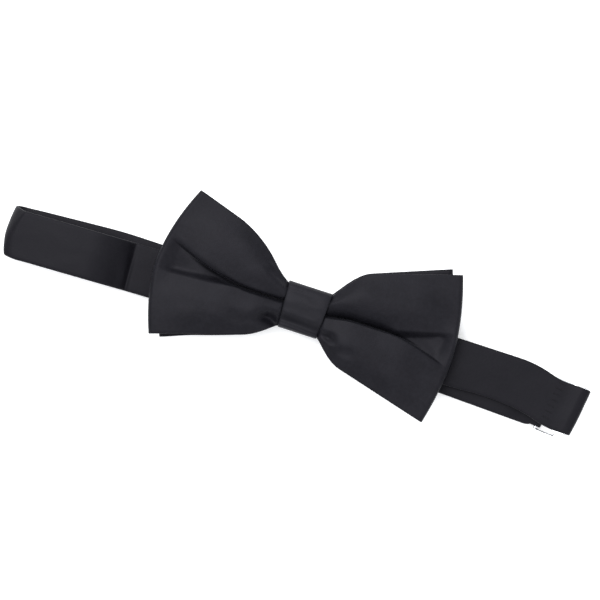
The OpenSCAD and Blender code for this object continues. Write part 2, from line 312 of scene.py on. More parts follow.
def nickel_material():
    """Nickel plate, polished, with faint handling marks."""
    material = bpy.data.materials.new("nickel")
    tree, shader = nodes_of(material)
    place = tree.nodes.new("ShaderNodeTexCoord").outputs["Object"]
    marks = link_noise(tree, place, 600.0, 5.0)
    colour = ramp(tree, marks, (0.62, 0.63, 0.65), (0.8, 0.81, 0.82))
    tree.links.new(colour, shader.inputs["Base Color"])
    shader.inputs["Metallic"].default_value = 1.0
    rough = math_node(tree, "ADD", math_node(tree, "MULTIPLY", marks, 0.2), 0.12)
    tree.links.new(rough, shader.inputs["Roughness"])
    tree.links.new(bump_node(tree, marks, 0.05, 0.0001), shader.inputs["Normal"])
    return material


MATERIALS = {
    "satin": satin_material("bow_satin", (0.0022, 0.0021, 0.0032), (0.0078, 0.0076, 0.01), 0.5, 0.015),
    # The knot's copy of the black satin has lighter colours than the bow's: painted light for how brightly
    # the knot's front catches the lamps.
    "knot_satin": satin_material("knot_satin", (0.0055, 0.0054, 0.0072), (0.01, 0.0098, 0.012), 0.5, 0.015,
                                 turn=math.pi / 2),
    "strap_satin": satin_material("strap_satin", (0.0024, 0.0023, 0.0035), (0.0046, 0.0044, 0.006),
                                  0.5, 0.012),
    "interlining": lining_material(),
    "thread": thread_material(),
    "nickel": nickel_material(),
}


def finish_piece(piece, slot, body=None, nodes=()):
    """Gives a piece its material from a slot and its body, and hides the CAD nodes that it stands for."""
    piece.data.materials.clear()
    piece.data.materials.append(MATERIALS[slot])
    if body:
        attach(piece, body)
    if nodes:
        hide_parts(*nodes)
    return piece


# ---------------------------------------------------------------- the bows

WAIST_HALF = 7.6          # half the height of the gathered waist
KNOT_SIDE = 8.5           # where a wing leaves the knot
EDGE_START = (8.2, 7.5)   # where its top and its bottom edge start to spread
END_ROUND = 1.5           # length of the pressed fold at a wing's end
SAG_START = 28.0          # from here outwards the wing's end bows outwards
RIDGE_RUN = 3.4           # band of fine rows over the overhanging fold
SECOND_RUN = 3.2          # and over the slope beyond the second fold
FOLD_DEPTH = 3.95         # depth of the front bow's valley, which the folds' depths are given for
ZONE_ROWS = (17, 15, 10, 18, 20)         # rows of the cloth below, between and above its folds
ZONE_LEAN = (1.0, -1.9, 1.0, 1.6, 1.0)   # above 1 the rows crowd at a zone's start, below -1 at its end

# Spans of (start, length) along a wing, from the middle of the bow.
FOLDS_GROW = (4, 7)       # the folds grow out of the gathered waist
VALLEY_OPENS = (8, 10)    # the valley gets to its full depth
SHIFT_ENDS = (8, 12)      # its shift by the knot dies out
WALLS_LOOSEN = (29, 10)   # its walls turn from tight to loose
VALLEY_RISES = (38, 22)   # it gets shallow
SECOND_ENDS = (52, 7)     # the second fold runs out
VALLEY_ENDS = (53, 6)     # and so does the valley
PUFF_ENDS = (18, 32)      # the cloth between the folds and the edges lies flatter
KNOT_OPENS = (5.6, 3.2)   # the loop opens out of the knot, first quickly
WING_OPENS = (8, 12)      # and then slowly

# A wing.
# edge: how its top and its bottom edge belly out, each as [share, reach along the edge, depth, place and
# width of a dent in it]. sag: how far its top and bottom corner stand back from the middle of its end.
# The folds are in a frame whose Y is turned by flip.
# main: [height, rise, start, run, shift by the knot] of the fold beside the valley. near: the width of that
# side's wall near the knot and near the end. hang: how far it overhangs there.
# second: [height, slope, start] of the fold on the valley's other side. far: the width of its wall, tight
# near the knot and loose near the end, where its depth is step.
# creases: short folds by the knot, each [y at the knot, y at its end, end along the wing, depth, width].
# dimples: each [s, y, size along, size up, depth].
LEFT = dict(flip=1, sag=(8.1, 5.9), edge=((0.42, 0.6, 0.04, 0.12, 0.09), (0.25, 0.28, 0.022, 0.75, 0.18)),
            main=(1.2, 7.0, 22.0, 30.0, 0.0), near=(2.1, 3.0), hang=(0.18, 0.32),
            second=(1.0, -0.07, 31.0), far=(1.5, 3.2), step=3.0,
            creases=[(-5.4, -10.5, 22.0, 1.6, 1.9), (6.6, 12.6, 22.0, 0.4, 1.1)],
            dimples=[(12.2, -7.0, 3.2, 2.2, 2.7), (9.4, -8.2, 1.8, 1.4, 1.9),
                     (24.0, -11.0, 5.0, 2.6, 0.6), (17.5, 12.6, 2.5, 0.9, -0.5)])
RIGHT = dict(flip=-1, sag=(5.9, 3.7), edge=((0.41, 0.3, 0.0, 0.1, 0.1), (0.33, 0.25, 0.0, 0.1, 0.1)),
             main=(-1.5, 4.7, 34.0, 22.0, 1.2), near=(1.3, 2.2), hang=(0.24, 0.36),
             second=(-1.3, -0.25, 34.0), far=(7.5, 3.4), step=4.2,
             creases=[(-6.4, -9.0, 18.0, 1.1, 1.3), (7.0, 10.2, 14.5, 0.6, 0.9)],
             dimples=[(12.5, -6.8, 2.2, 1.7, 1.0), (20.0, -10.8, 4.0, 1.8, 0.7),
                      (13.0, -10.2, 1.3, 0.8, -0.25)])

# A bow.
# half, top, bottom: how far it reaches from its middle. waist, wing: the middle height of the loop and half
# its thickness, in the knot and outside it. end: half its thickness at a wing's end. depth: of its valley.
# belly: how full its edges are.
FRONT_BOW = dict(
    half=FRONT_HIGH[0], top=FRONT_HIGH[1], bottom=-FRONT_LOW[1],
    waist=(9.9, 2.1), wing=(FRONT_HIGH[2] - 3.5, 3.5), end=1.7, depth=FOLD_DEPTH, belly=1.0, seed=1)
BACK_BOW = dict(
    half=BACK_HIGH[0] + 1.5, top=31.2, bottom=25.6,
    waist=(5.7, 1.7), wing=(9.5, 1.6), end=1.3, depth=0.9, belly=0.88, seed=2)


TOP, BOTTOM = 0, 1


def edge_height(bow, wing, s, which):
    """How far a wing's TOP or BOTTOM edge is from the bow's middle line, at s from the middle."""
    share, reach, pinch, dent, spread = wing["edge"][which]
    share *= bow["belly"]
    tall, sag = (bow["top"], bow["bottom"])[which], wing["sag"][which]
    along = s - sag * smooth((s - SAG_START) / (bow["half"] - SAG_START))
    start = EDGE_START[which]
    t = np.clip((along - start) / (bow["half"] - sag - start), 0, 1)
    rise = share * np.sin(np.pi / 2 * min(t / reach, 1)) + (1 - share) * t
    rise -= pinch * bump((t - dent) / spread)
    return WAIST_HALF + (tall - WAIST_HALF) * max(rise, 0.0)


def main_fold(wing, s):
    """Height of the fold that hangs over the valley."""
    level, rise, start, run, shift = wing["main"]
    return level + rise * max(0.0, (s - start) / run) ** 1.5 + shift * (1 - past(s, SHIFT_ENDS))


def second_fold(wing, s):
    """Height of the fold on the valley's other side."""
    level, slope, start = wing["second"]
    return min(level + slope * (s - start), main_fold(wing, s) - 0.35)


def crease(t):
    """1 at 0 and falling away on both sides, like a pressed crease."""
    return np.exp(0.15 - np.sqrt(t * t + 0.0225))


def wall(t, power):
    """Climbs from 0 to 1 out of a valley, steepest at its bottom."""
    return 1 - (1 - np.clip(t, 0, 1)) ** power


def spaced(start, end, count, lean):
    """Heights from start up to end, which crowd towards one of them by lean."""
    t = np.linspace(0, 1, count, endpoint=False)
    return mix(start, end, t ** lean if lean > 0 else 1 - (1 - t) ** -lean)


def row_heights(bow, wing, s):
    """The height of every row of the cloth at s, close together over the folds."""
    low, high = -edge_height(bow, wing, s, BOTTOM), edge_height(bow, wing, s, TOP)
    if wing["flip"] < 0:
        low, high = -high, -low
    near = max(s, KNOT_SIDE)
    fold = main_fold(wing, near)
    second = second_fold(wing, near)
    stops = [low, max(second - SECOND_RUN, 0.5 * (low + second)), second, fold - 0.2,
             min(fold + RIDGE_RUN, 0.6 * high + 0.4 * fold), high]
    rows = [spaced(*zone) for zone in zip(stops, stops[1:], ZONE_ROWS, ZONE_LEAN)]
    rows = np.append(np.concatenate(rows), high)
    return rows if wing["flip"] > 0 else -rows[::-1]


def pleats(bow, wing, s, y):
    """How far the folds move the front face at s: up or down in its plane, and back."""
    top, bottom = edge_height(bow, wing, s, TOP), edge_height(bow, wing, s, BOTTOM)
    edge, other = (top, bottom) if wing["flip"] > 0 else (bottom, top)
    y = y * wing["flip"]
    fade = past(s, FOLDS_GROW)
    small = bow["depth"] / FOLD_DEPTH
    depth = bow["depth"] * fade * (0.2 + 0.8 * (1 - past(s, VALLEY_RISES))) * (1 - past(s, VALLEY_ENDS))
    depth = depth * mix(1.0, 0.66, 1 - past(s, VALLEY_OPENS))
    fold, second = main_fold(wing, s), second_fold(wing, s)
    over, gap = y - fold, fold - second
    outwards = past(s, WALLS_LOOSEN)
    step = mix(depth, wing["step"] * small * (1 - past(s, SECOND_ENDS)), smooth((gap - 0.8) / 4))
    floor = mix(depth, step, np.clip(-over / gap, 0, 1))
    tight, loose = wing["far"]
    soft_rise = 0.7 * smooth((second - y) / loose + 0.35) + 0.3 * smooth((second - y) / (3 * loose))
    far = mix(wall((second - y) / tight, 2.8), soft_rise, outwards)
    near = wall(over / mix(*wing["near"], outwards), 2.6)
    back = -np.where(over > 0, depth * (1 - near), floor * (1 - far))
    back = back - 0.1 * depth * bump((over + 0.25) / 0.55)
    puff = 1.3 * fade * (1 - 0.8 * past(s, PUFF_ENDS)) * small
    lobe = np.where(over > 0, over / max(edge - fold, 1), (fold - y) / max(other + fold, 1))
    back = back + puff * (np.sin(np.pi * np.clip(lobe, 0, 1)) - 0.35)
    for start, end, reach, deep, width in wing["creases"]:
        line = mix(start, end, (s - 8) / (reach - 8)) * wing["flip"]
        ends = fade * (1 - smooth((s - reach + 7) / 7))
        back = back - deep * small * ends * bump((y - line) / width)
    for along, height, size_s, size_y, deep in wing["dimples"]:
        pit = bump((s - along) / size_s) * bump((y - height * wing["flip"]) / size_y)
        back = back - deep * small * pit
    down = -mix(*wing["hang"], outwards) * depth * bump((over - 1.5) / 1.15)
    return down * wing["flip"], back


def bow_columns(bow):
    """(side, s, share of the wing's thickness, panel) of each column round the loop."""
    end = bow["half"] - END_ROUND
    front = np.concatenate([np.linspace(0, 34, 55), np.linspace(34.7, end, 37)])
    rear = np.linspace(0, end, 26)
    turns = np.radians([15, 30, 45, 60, 72, 82])
    tip = [(end + END_ROUND * math.sin(a), math.cos(a)) for a in turns]

    def half_loop(side):
        """From the middle of the front out to a wing's end and along the back to its middle."""
        out = [(side, s, 1.0, 1) for s in front] + [(side, s, c, 1) for s, c in tip]
        back = [(side, s, c, -1) for s, c in reversed(tip)]
        back += [(side, s, 1.0, -1) for s in reversed(rear)]
        return out + [(side, bow["half"], 0.0, 1)] + back

    right = half_loop(1)
    left = half_loop(-1)[::-1]
    return right[:-1] + left[:-1]


def bow_surface(bow):
    """The loop of cloth as a grid: columns round the loop, rows from its bottom edge to its top."""
    columns = []
    for side, s, share, panel in bow_columns(bow):
        wing = LEFT if side < 0 else RIGHT
        x = side * s
        y = row_heights(bow, wing, s)
        if s < KNOT_SIDE:
            across = smooth((x + KNOT_SIDE) / (2 * KNOT_SIDE))
            y = mix(row_heights(bow, LEFT, s), row_heights(bow, RIGHT, s), across)
        v = np.where(y > 0, y / edge_height(bow, wing, s, TOP), y / edge_height(bow, wing, s, BOTTOM))
        bowed = smooth((s - SAG_START) / (bow["half"] - SAG_START))
        sag = np.where(y > 0, *wing["sag"]) * np.abs(v) ** 1.8 * bowed
        open_up = 0.8 * past(s, KNOT_OPENS) + 0.2 * past(s, WING_OPENS)
        middle = mix(bow["waist"][0], bow["wing"][0], open_up)
        half = mix(bow["waist"][1], bow["wing"][1], open_up)
        near_edge = smooth((np.abs(v) - 0.55) / 0.45)
        half = half * (1 - 0.34 * near_edge * open_up)
        half = mix(half, bow["end"], smooth((s - 40) / (bow["half"] - 40)))
        down, back = pleats(bow, wing, s, y) if panel > 0 else (0.0, 0.0)
        room = 2 * half - 2 * (SATIN_T + LINING_T) - 0.35
        back = soft_max0(back + room, 0.15) - room
        z = middle + panel * share * half + share * back
        columns.append(np.stack([side * (s - sag), y + share * down, z + np.zeros_like(y)], axis=1))
    surface = np.stack(columns)
    return add_wrinkles(surface, bow)


def add_wrinkles(surface, bow):
    """Broad, shallow unevenness of the cloth, away from the knot."""
    away = smooth((np.abs(surface[..., 0]) - 9) / 12)
    broad = wrinkles(surface * np.array([0.7, 1.0, 0.0]), 13.0, bow["seed"])
    fine = wrinkles(surface * np.array([0.5, 1.0, 0.0]), 4.5, bow["seed"] + 3)
    surface[..., 2] += away * (0.55 * broad + 0.1 * fine)
    return surface


def turned(surface, degrees):
    """The grid turned about Z, in place."""
    c, s = math.cos(math.radians(degrees)), math.sin(math.radians(degrees))
    x, y = surface[..., 0].copy(), surface[..., 1].copy()
    surface[..., 0], surface[..., 1] = c * x - s * y, s * x + c * y
    return surface


def drawn_in(surface, bow):
    """The loop with its folds widened inwards, which keeps the lining behind the satin in a tight fold."""
    z = surface[..., 2]
    near = [np.pad(z, ((0, 0), (3, 3)), mode="edge")[:, k:k + z.shape[1]] for k in range(7)]
    front = np.array([panel > 0 for _, _, _, panel in bow_columns(bow)])[:, None]
    inside = surface.copy()
    inside[..., 2] = np.where(front, np.min(near, axis=0), np.max(near, axis=0))
    return inside


def make_bow(name, bow, degrees):
    """A bow's loop of satin and the interlining inside it, turned about Z."""
    shape = bow_surface(bow)
    surface = turned(shape.copy(), degrees)
    satin = finish_piece(shell(name + "_satin", surface, 0.0, SATIN_T), "satin", "bow", [name])
    inside = turned(drawn_in(shape, bow), degrees)[:, 1:-1]
    lining = shell(name + "_lining", inside, SATIN_T + 0.05, LINING_T)
    finish_piece(lining, "interlining", "bow", [name + "_interlining"])


# ---------------------------------------------------------------- the knot

KNOT_TOP_W, KNOT_BOTTOM_W = 16.9, 14.9
KNOT_HALF_H = (KNOT_HIGH[1] - KNOT_LOW[1]) / 2
WRAP_T = 0.8              # thickness of the wrap
BACK_ROUND, FRONT_ROUND = 1.6, 3.4    # radii of the wrap's edges


def knot_line():
    """The wrap's outline seen from the side, from the middle of its back over the top: (y, z) points."""
    low, high = KNOT_LOW[2], KNOT_HIGH[2]
    back, front = BACK_ROUND, FRONT_ROUND
    h = KNOT_HALF_H
    turn = np.radians(np.arange(0, 91, 15))
    points = [(y, low) for y in np.linspace(0, h - back, 5)]
    points += [(h - back + back * math.sin(a), low + back - back * math.cos(a)) for a in turn[1:]]
    points += [(h, z) for z in np.linspace(low + back + 1.5, high - front - 1.0, 6)]
    points += [(h - front + front * math.cos(a), high - front + front * math.sin(a)) for a in turn]
    points += [(y, high) for y in np.linspace(h - front - 0.5, 0.4, 10)]
    points += [(-y, z) for y, z in points[::-1] if y > 0.3]
    return np.array(points)


def knot_surface():
    """The wrap's outer face: crowned across, tucked in above its bottom edge and swollen above the tuck."""
    line = knot_line()
    across = np.linspace(-1, 1, 25)
    columns = []
    for y, z in line:
        half = mix(KNOT_BOTTOM_W, KNOT_TOP_W, (y + KNOT_HALF_H) / (2 * KNOT_HALF_H)) / 2
        front = smooth((z - 10) / 5)
        x = across * half
        crown = -0.35 * front * np.abs(across) ** 8
        slant = 0.3 * across
        tuck = -2.3 * smooth((-2.7 - y - slant) / 3.6) + 1.9 * smooth((-6.9 - y - slant) / 0.9)
        swell = 0.3 * bump((y - 1.5) / 3.0) - 0.45 * crease((y - 6.0 - slant) / 0.8)
        columns.append(np.stack([x, np.full_like(x, y), z + crown + front * (tuck + swell)], axis=1))
    surface = np.stack(columns)
    drawn = 0.18 * wrinkles(surface * np.array([0.35, 1.0, 0.4]), 2.6, 5)
    surface[..., 2] += drawn * smooth((surface[..., 2] - 10) / 4)
    return surface


def make_knot():
    """The wrap, the padding inside it and the stitches that close it."""
    wrap = shell("knot_wrap_satin", knot_surface(), 0.0, WRAP_T)
    # The wrap gets the lighter copy of the satin, whose extra brightness is painted light.
    finish_piece(wrap, "knot_satin", "bow", ["knot_wrap"])
    line = knot_line()
    pad = make_pad()
    finish_piece(pad, "interlining", "bow", ["knot_padding"])
    make_knot_stitches()


def make_pad():
    """A wad of padding, domed towards the front, that fills the wrap."""
    centre = (PAD_LOW + PAD_HIGH) / 2
    size = (PAD_HIGH - PAD_LOW) / 2 - np.array([1.5, 0.3, 0.35])
    rings = []
    for a in np.radians(np.linspace(-84, 84, 15)):
        ring = []
        for b in np.radians(np.arange(0, 360, 12)):
            squared = (abs(math.cos(b)) ** 3 + abs(math.sin(b)) ** 3) ** (-1 / 3)
            reach = math.cos(a) ** 0.45 * squared
            ring.append(centre + size * np.array([reach * math.cos(b), reach * math.sin(b), math.sin(a)]))
        rings.append(ring)
    rings = np.array(rings)
    under_tuck = smooth((-1.8 - rings[..., 1]) / 4.2)
    rings[..., 2] -= 2.1 * under_tuck * smooth((rings[..., 2] - centre[2] + 0.6) / 1.6)
    rings += 0.25 * wrinkles(rings, 2.5, 8)[..., None] * unit(rings - centre)
    return grid_object("knot_pad", rings)


def tube(route, radius, sides=8):
    """A thread along a route, as a grid of rings."""
    route = np.asarray(route, float)
    along = unit(np.gradient(route, axis=0))
    up = np.where(np.abs(along[:, 2:3]) > 0.9, np.array([[1.0, 0, 0]]), np.array([[0, 0, 1.0]]))
    side = unit(np.cross(up, along))
    over = np.cross(along, side)
    turns = np.linspace(0, 2 * np.pi, sides, endpoint=False)
    return np.stack([route + radius * (side * math.cos(a) + over * math.sin(a)) for a in turns], axis=1)


def joined_tubes(name, routes, radius):
    """One mesh of several closed tubes."""
    points, faces, count = [], [], 0
    for route in routes:
        rings = tube(route, radius)
        nu, nv = rings.shape[:2]
        points.append(rings.reshape(-1, 3))
        for i in range(nu - 1):
            for j in range(nv):
                k = (j + 1) % nv
                quad = (i * nv + j, i * nv + k, (i + 1) * nv + k, (i + 1) * nv + j)
                faces.append(tuple(count + n for n in quad))
        faces.append(tuple(count + n for n in reversed(range(nv))))
        faces.append(tuple(count + n for n in range((nu - 1) * nv, nu * nv)))
        count += nu * nv
    return mesh_object(name, np.concatenate(points), faces)


def stitch(start, end, out, rise):
    """One stitch: a short arch of thread from start to end, standing rise out of the cloth."""
    t = np.linspace(0, 1, 7)[:, None]
    return mix(np.array(start), np.array(end), t) + np.array(out) * (rise * np.sin(np.pi * t) - 0.12)


def make_knot_stitches():
    """Slip stitches, bunched at the middle of the wrap's back: the CAD node's row runs up the knot."""
    low, high = box_mm("knot_stitches")
    xs = np.linspace(low[0] + 0.8, high[0] - 0.8, 7)
    y = (low[1] + high[1]) / 2
    z = KNOT_LOW[2]
    routes = [stitch((x - 0.35, y - 0.7, z), (x + 0.35, y + 0.7, z), (0, 0, -1), 0.22) for x in xs]
    finish_piece(joined_tubes("knot_stitch_row", routes, 0.13), "thread", "bow", ["knot_stitches"])


# ---------------------------------------------------------------- the straps

LINE_STEP = 1.0           # between the points of a strap's middle line
TOP_Z = STRAP_T / 2       # from a strap's underside to its middle
CREASE_X = -69.0          # the front strap is creased here
BULGE_RUN = 17.0          # and rises over this length beyond it
BULGE_TOP = 9.3           # to this height
BEND_X = -114.4           # the rolled bend starts here
BEND_TOP = 8.3            # its middle line's highest
BEND_FOOT = 0.56          # and lowest point
STRAP_REST = 2.6          # height of the front strap's underside inside the knot
KNOT_RUN = 15.0           # the strap is gathered this far out from the knot's middle
RISE_END = 29.0           # and has risen to the hook's height here
BACK_LEAN = math.radians(-2)   # the back strap leans this much right of STEP_X
STEP_X = 16.0             # where it also steps up
STEP_UP = 3.6             # by this much, over the return strap
HOOK_AT = np.array(JOINTS["hook_swing"]["pos_m"]) / MM
HOOK_TURN = math.radians(-8)   # the way the strap runs there
EYE_AT = np.array(JOINTS["eye_swing"]["pos_m"]) / MM
EYE_TURN = math.radians(-5)    # and here
FOLD_HOLLOW = 0.95        # radius of the hollow in a fold round the hook or the eye
FOLD_R = FOLD_HOLLOW + STRAP_T / 2
TAB_LEN = 12.0            # the end of the strap that is folded back and sewn down behind the hook
ARC_STEP = 12             # degrees between the points of a fold
LOOP_ARC_STEP = 15        # and of the slider's loop
BEND_MARGIN = 9           # points of the line beside the bend that go with its sheet
LINING_MARGIN = 4         # points by which an interlining stops short
GATHERED_W = 15.6         # width of the strap inside the knot
BAND_SEED = 11            # of the wrinkles of the straps


def front_y(x):
    """Where the middle of the front strap runs, seen from above."""
    left = -4.6 * smooth((-x - KNOT_RUN) / 45) - 0.034 * soft_max0(-60 - x, 3)
    right = -1.3 * smooth((x - KNOT_RUN) / 45) - 0.14 * soft_max0(x - 88, 1.2)
    return left + right


def front_z(x):
    """Its height: flat in the knot, up into the bulge left of the crease, and up to the hook."""
    t = np.clip((CREASE_X - x) / BULGE_RUN, 0, 1)
    bulge = (BULGE_TOP - STRAP_REST - TOP_Z) * (1 - (1 - t) ** 2.0)
    fall = (BULGE_TOP - BEND_TOP) * smooth((-90 - x) / 24)
    rise = (HOOK_AT[2] + FOLD_R - STRAP_REST - TOP_Z) * smooth((x - KNOT_RUN) / (RISE_END - KNOT_RUN))
    return STRAP_REST + TOP_Z + bulge - fall + rise


def back_y(x):
    """Where the middle of the back strap runs, seen from above."""
    near, far = np.minimum(x, STEP_X) - STEP_X, np.maximum(x - STEP_X, 0)
    straight = -3.3 - 0.012 * near + math.tan(BACK_LEAN) * far
    behind_knot = 3.1 * smooth((34 - x) / 26) * smooth((x + 62) / 45)
    return straight + behind_knot - 0.079 * soft_max0(-75 - x, 3)


def back_z(x):
    """Its height: on the table, up over the return strap, and down to the eye."""
    down = STEP_UP + STRAP_T - 2 * EYE_AT[2]
    return TOP_Z + STEP_UP * smooth((x - STEP_X) / 16) - down * smooth((x - 86) / 8)


def strap_width(x):
    """The strap is narrower inside the knot."""
    return GATHERED_W + (STRAP_W - GATHERED_W) * smooth((np.abs(x) - KNOT_RUN) / 13)


def fold_points(at, turn, outline):
    """Points of a fold, from (along, up) pairs in its own frame."""
    c, s = math.cos(turn), math.sin(turn)
    return [(at[0] + u * c, at[1] + u * s, at[2] + w) for u, w in outline]


def arc(radius, start, end, step):
    """(along, up) points of an arc between two angles in degrees."""
    count = max(3, int(abs(end - start) / step))
    turns = np.radians(np.linspace(start, end, count))
    return [(radius * math.cos(a), radius * math.sin(a)) for a in turns]


def whole_strap():
    """The middle line from the hook's tab, over the bow's back, round the bend and back to the eye.

    Also gives where its parts end, and how many points the tab and the fold round the hook take.
    """
    closed = 2 * FOLD_HOLLOW - 0.05
    tab = [(-TAB_LEN + i, -FOLD_R + closed) for i in range(9)]
    tab += [(-2.2, -FOLD_R + closed * 0.75), (-1.1, -FOLD_R + closed * 0.25)]
    fold = tab + arc(FOLD_R, -90, 90, ARC_STEP)
    hook = fold_points(HOOK_AT, HOOK_TURN, fold + [(-u, FOLD_R) for u in range(1, 14)])
    xs = np.arange(HOOK_AT[0] - 15, BEND_X, -LINE_STEP)
    xs = np.sort(np.append(xs, np.arange(CREASE_X - 4.75, CREASE_X + 3, LINE_STEP / 2)))[::-1]
    xs = xs[np.append(True, -np.diff(xs) > 0.2)]
    front = [(x, front_y(x), front_z(x)) for x in xs]
    radius = (BEND_TOP - BEND_FOOT) / 2
    bend = []
    for a in np.linspace(90, 270, 27):
        share = smooth((a - 90) / 180)
        x = BEND_X + radius * math.cos(math.radians(a))
        y = mix(front_y(BEND_X), back_y(BEND_X), share)
        bend.append((x, y, BEND_FOOT + radius + radius * math.sin(math.radians(a))))
    back = [(x, back_y(x), back_z(x)) for x in np.arange(BEND_X + LINE_STEP, EYE_AT[0] - 5, LINE_STEP)]
    eye = fold_points(EYE_AT, EYE_TURN, [(u, FOLD_R) for u in (-4.5, -3.5, -2.5, -1.5, -0.7)]
                      + arc(FOLD_R, 90, -90, ARC_STEP) + [(-u, -FOLD_R) for u in (0.8, 1.6, 2.4, 3.2, 4.0)])
    parts = [hook, front, bend, back, eye]
    marks = np.cumsum([len(p) for p in parts])
    return np.array([p for part in parts for p in part]), marks, len(fold)


def softened(line):
    """The line with its corners rounded, in place."""
    line[1:-1] = (line[:-2] + 2 * line[1:-1] + line[2:]) / 4
    return line


def strap_directions(line):
    """Along, across and outward directions at each point; across stays level and points to +Y."""
    along = unit(np.gradient(line, axis=0))
    heading = np.arctan2(along[:, 1], along[:, 0])
    heading = np.arctan(np.tan(heading))
    level = np.abs(along[:, 2]) < 0.7
    index = np.arange(len(line))
    heading = np.interp(index, index[level], heading[level])
    for _ in range(6):
        heading = softened(heading)
    across = np.stack([-np.sin(heading), np.cos(heading), np.zeros_like(heading)], axis=1)
    return along, across, unit(np.cross(across, along))


def band_ring(width, thickness, crown):
    """Outline of a flat folded band: soft edges and slightly full faces. (across, up) points."""
    edge = thickness / 2
    flat = np.linspace(-1, 1, 19) * (width / 2 - edge)
    full = crown * (1 - (flat / (width / 2)) ** 2)
    upper = [(a, edge + f) for a, f in zip(flat, full)]
    turns = np.radians([60, 30, 0, -30, -60])
    right = [(width / 2 - edge + edge * math.cos(a), edge * math.sin(a)) for a in turns]
    lower = [(a, -edge - f) for a, f in zip(flat[::-1], full[::-1])]
    left = [(-x, y) for x, y in right[::-1]]
    return np.array(upper + right + lower + left)


def band_grid(line, directions, widths, thickness, inset=0.0, crown=0.12, wave=1.0):
    """A flat folded band along a line, as rings, with shallow wrinkles that all its layers share."""
    _, across, out = directions
    rings = []
    for point, side, up, width in zip(line, across, out, widths):
        ring = band_ring(width - 2 * inset, thickness - 2 * inset, crown)
        rings.append(point + ring[:, :1] * side + ring[:, 1:] * up)
    rings = np.array(rings)
    middle = np.repeat(line[:, None], rings.shape[1], axis=1)
    share = np.einsum("ijk,ik->ij", rings - middle, across)[..., None] * across[:, None]
    place = (middle + share) * np.array([0.5, 1.0, 1.0])
    lift = 0.16 * wrinkles(place, 8.0, BAND_SEED) + 0.05 * wrinkles(place, 3.0, BAND_SEED + 1)
    return rings + wave * lift[..., None] * out[:, None]


def hollow_band(name, outer, inner):
    """A closed tube of cloth: an outer and an inner skin, joined at both ends."""
    nu, nv = outer.shape[:2]
    points = np.concatenate([outer.reshape(-1, 3), inner.reshape(-1, 3)])
    faces = []
    for i in range(nu - 1):
        for j in range(nv):
            k = (j + 1) % nv
            quad = (i * nv + j, i * nv + k, (i + 1) * nv + k, (i + 1) * nv + j)
            faces.append(quad[::-1])
            faces.append(tuple(n + nu * nv for n in quad))
    for i, turn in ((0, 1), (nu - 1, -1)):
        for j in range(nv):
            k = (j + 1) % nv
            quad = (i * nv + j, i * nv + k, nu * nv + i * nv + k, nu * nv + i * nv + j)
            faces.append(quad[::turn])
    band = mesh_object(name, points, faces)
    for edge in band.data.edges:
        rings = {n % (nu * nv) // nv for n in edge.vertices}
        edge.use_edge_sharp = rings in ({0}, {nu - 1})
    return band


def shape_strap(rings, line, upper):
    """The crease, the bend's corners that stand back, the sway at the right and the ridge at the hook."""
    middle = line[:, None]
    v = (rings[..., 1] - middle[..., 1]) / (STRAP_W / 2)
    at_end = smooth((-106 - rings[..., 0]) / 10)
    corner = np.where(v > 0, 1.2, 2.6) * v * v
    rings[..., 0] += at_end * corner
    x = rings[..., 0]
    on_front = (rings[..., 2] > 1.5) & (np.abs(x - CREASE_X) < 14)
    lean = CREASE_X - 0.35 - 0.75 * v
    groove = 0.5 * bump((x - lean - 0.2) / 0.9)
    hollow = 0.8 * bump((x - lean + 4.5) / 3.2) * bump((v + 0.5) / 0.8)
    rings[..., 2] -= np.where(on_front, groove + hollow, 0.0)
    on_right = (rings[..., 2] > 2.9) & (x > 55) & upper[:, None]
    shift = -1.1 * bump((x - 103) / 7) + np.where(v < 0, 0.7 * bump((x - 76) / 9), 0.0)
    rings[..., 1] += np.where(on_right, shift, 0.0)
    at_hook = (rings[..., 2] > HOOK_AT[2]) & (x > 90)
    ridge = 0.3 * bump((x - 110.4 - 1.3 * v) / 0.8) + 0.4 * smooth((x - 104.8 - 1.3 * v) / 5.5)
    rings[..., 2] += np.where(at_hook, ridge, 0.0)
    return rings


def make_straps():
    """The strap's two halves and the bend between them, cut from one band, and the two interlinings."""
    line, marks, hook_turn = whole_strap()
    line = softened(line)
    directions = strap_directions(line)
    widths = strap_width(line[:, 0])
    upper = np.arange(len(line)) < marks[1]
    insets = (0.0, COVER_T, COVER_T + 0.06)
    outer, inner, core = (shape_strap(band_grid(line, directions, widths, STRAP_T, inset=inset), line, upper)
                          for inset in insets)
    first_bend, last_bend = marks[1] - BEND_MARGIN, marks[2] + BEND_MARGIN
    cuts = {"front_strap_satin": (0, first_bend), "strap_bend_satin": (first_bend, last_bend),
            "back_strap_satin": (last_bend, len(line) - 1)}
    made = {}
    for name, (a, b) in cuts.items():
        made[name] = hollow_band(name, outer[a:b + 1], inner[a:b + 1])
    front_nodes, back_nodes = ["front_strap", "hook_strap", "hook_loop"], ["back_strap", "eye_strap"]
    finish_piece(made["front_strap_satin"], "strap_satin", "front_strap", front_nodes)
    finish_piece(made["back_strap_satin"], "strap_satin", "back_strap", back_nodes)
    bend = finish_piece(made["strap_bend_satin"], "strap_satin")
    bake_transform(bend)
    spans = {"front_strap": (hook_turn + LINING_MARGIN, first_bend - LINING_MARGIN),
             "back_strap": (last_bend + LINING_MARGIN, marks[3] - 2)}
    for name, (a, b) in spans.items():
        lining = grid_object(name + "_lining", core[a:b])
        finish_piece(lining, "interlining", name, [name + "_interlining"])


RETURN_START, RETURN_END = RETURN_LOW[0] - 0.6, RETURN_HIGH[0]


